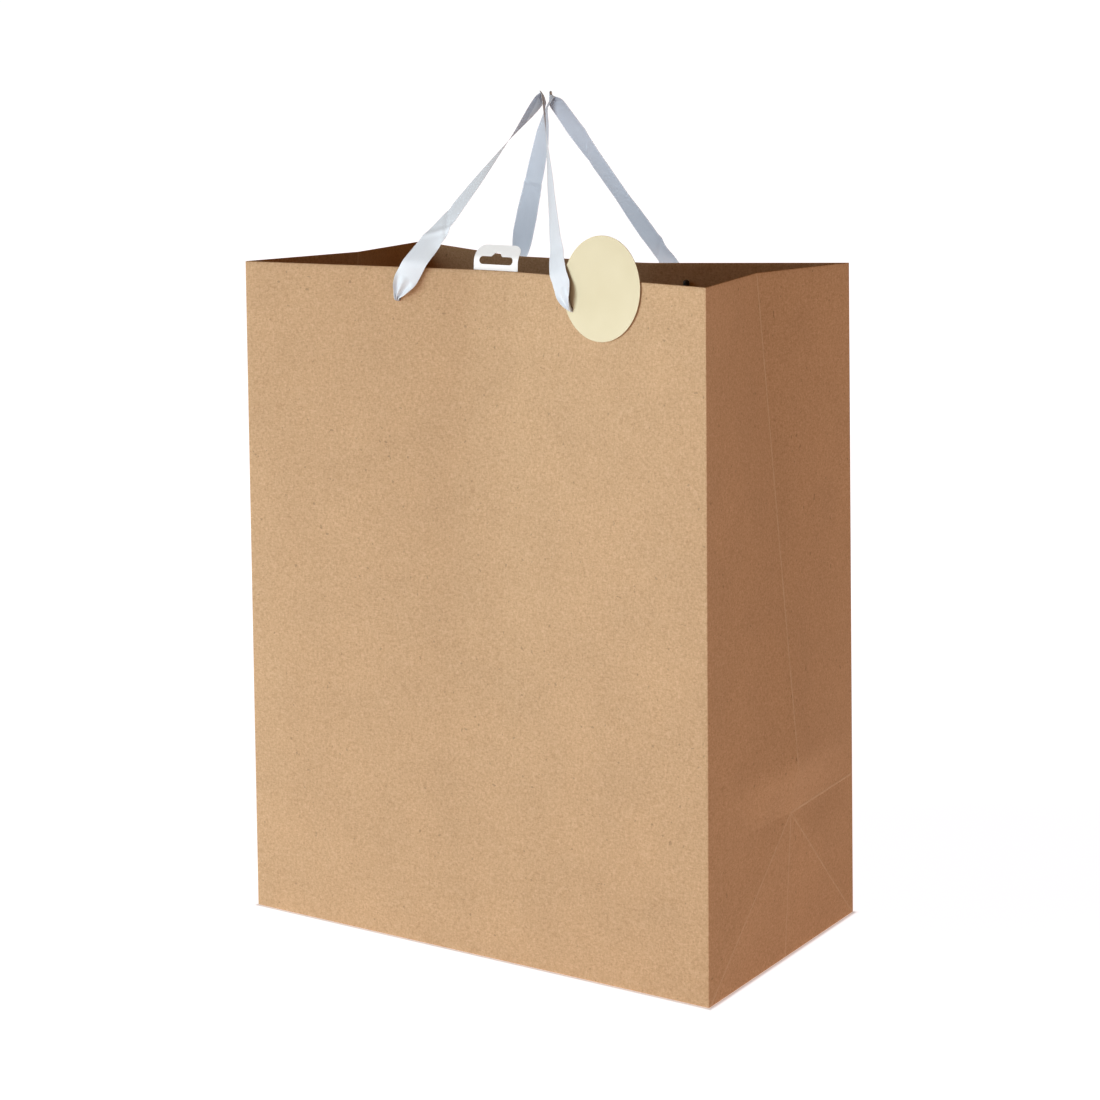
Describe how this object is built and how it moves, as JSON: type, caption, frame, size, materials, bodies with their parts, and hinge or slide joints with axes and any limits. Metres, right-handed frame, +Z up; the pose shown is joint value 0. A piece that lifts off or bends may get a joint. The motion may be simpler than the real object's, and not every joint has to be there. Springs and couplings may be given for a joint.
{
  "type": "gift bag",
  "caption": "Tall rectangular paper carrier bag with folded gussets, turned-in hem, loose base card, ribbon handles, euro-slot hang tab and a round tag.",
  "frame": {"origin": "centre of the bag's rectangular base, on the surface it stands on", "axes": "+X along the wide front to the viewer's right, -Y out of the front panel, +Z up"},
  "size_m": [0.4696, 0.26, 0.698],
  "materials": {
    "kraft_paper": "matte",
    "stiffening_card": "matte",
    "satin_ribbon": "satin",
    "black_plastic": "satin",
    "white_film": "satin",
    "gold_foil_card": "satin"
  },
  "bodies": {
    "bag": {"front_panel": "kraft_paper", "back_panel": "kraft_paper", "right_gusset": "kraft_paper", "left_gusset": "kraft_paper", "front_hem": "kraft_paper", "back_hem": "kraft_paper", "right_hem": "kraft_paper", "left_hem": "kraft_paper", "seam_flap": "kraft_paper", "bottom_back_flap": "kraft_paper", "bottom_front_flap": "kraft_paper", "bottom_right_flap": "kraft_paper", "bottom_left_flap": "kraft_paper", "front_top_card": "stiffening_card", "back_top_card": "stiffening_card", "front_ribbon_left_end": "satin_ribbon", "front_ribbon_right_end": "satin_ribbon", "back_ribbon_left_end": "satin_ribbon", "back_ribbon_right_end": "satin_ribbon", "front_left_bar": "black_plastic", "front_right_bar": "black_plastic", "back_left_bar": "black_plastic", "back_right_bar": "black_plastic", "hang_tab_pad": "white_film"},
    "base_card": {"base_card": "stiffening_card"},
    "front_handle": {"front_ribbon": "satin_ribbon"},
    "back_handle": {"back_ribbon": "satin_ribbon"},
    "hang_tab": {"hang_tab": "white_film"},
    "gift_tag": {"gift_tag": "gold_foil_card"}
  },
  "joints": [
    {"name": "front_handle_swing", "type": "hinge", "parent": "bag", "child": "front_handle", "pos_m": [-0.00573, -0.10081, 0.53443], "axis": [1, -0.0029, 0], "range_deg": [0, 170]},
    {"name": "back_handle_swing", "type": "hinge", "parent": "bag", "child": "back_handle", "pos_m": [-0.00806, 0.0813, 0.53286], "axis": [-0.9995, -0.0322, -0.0016], "range_deg": [0, 170]},
    {"name": "gift_tag_swing", "type": "hinge", "parent": "bag", "child": "gift_tag", "pos_m": [0.0779, -0.09755, 0.53423], "axis": [0.2153, 0.9749, -0.056], "range_deg": [0, 119]},
    {"name": "hang_tab_flex", "type": "hinge", "parent": "bag", "child": "hang_tab", "pos_m": [-0.007, -0.07777, 0.55952], "axis": [-1, 0, 0], "range_deg": [-60, 100]},
    {"name": "base_card_lift", "type": "slide", "parent": "bag", "child": "base_card", "axis": [0, 0, 1], "range_m": [0, 0.028]}
  ]
}
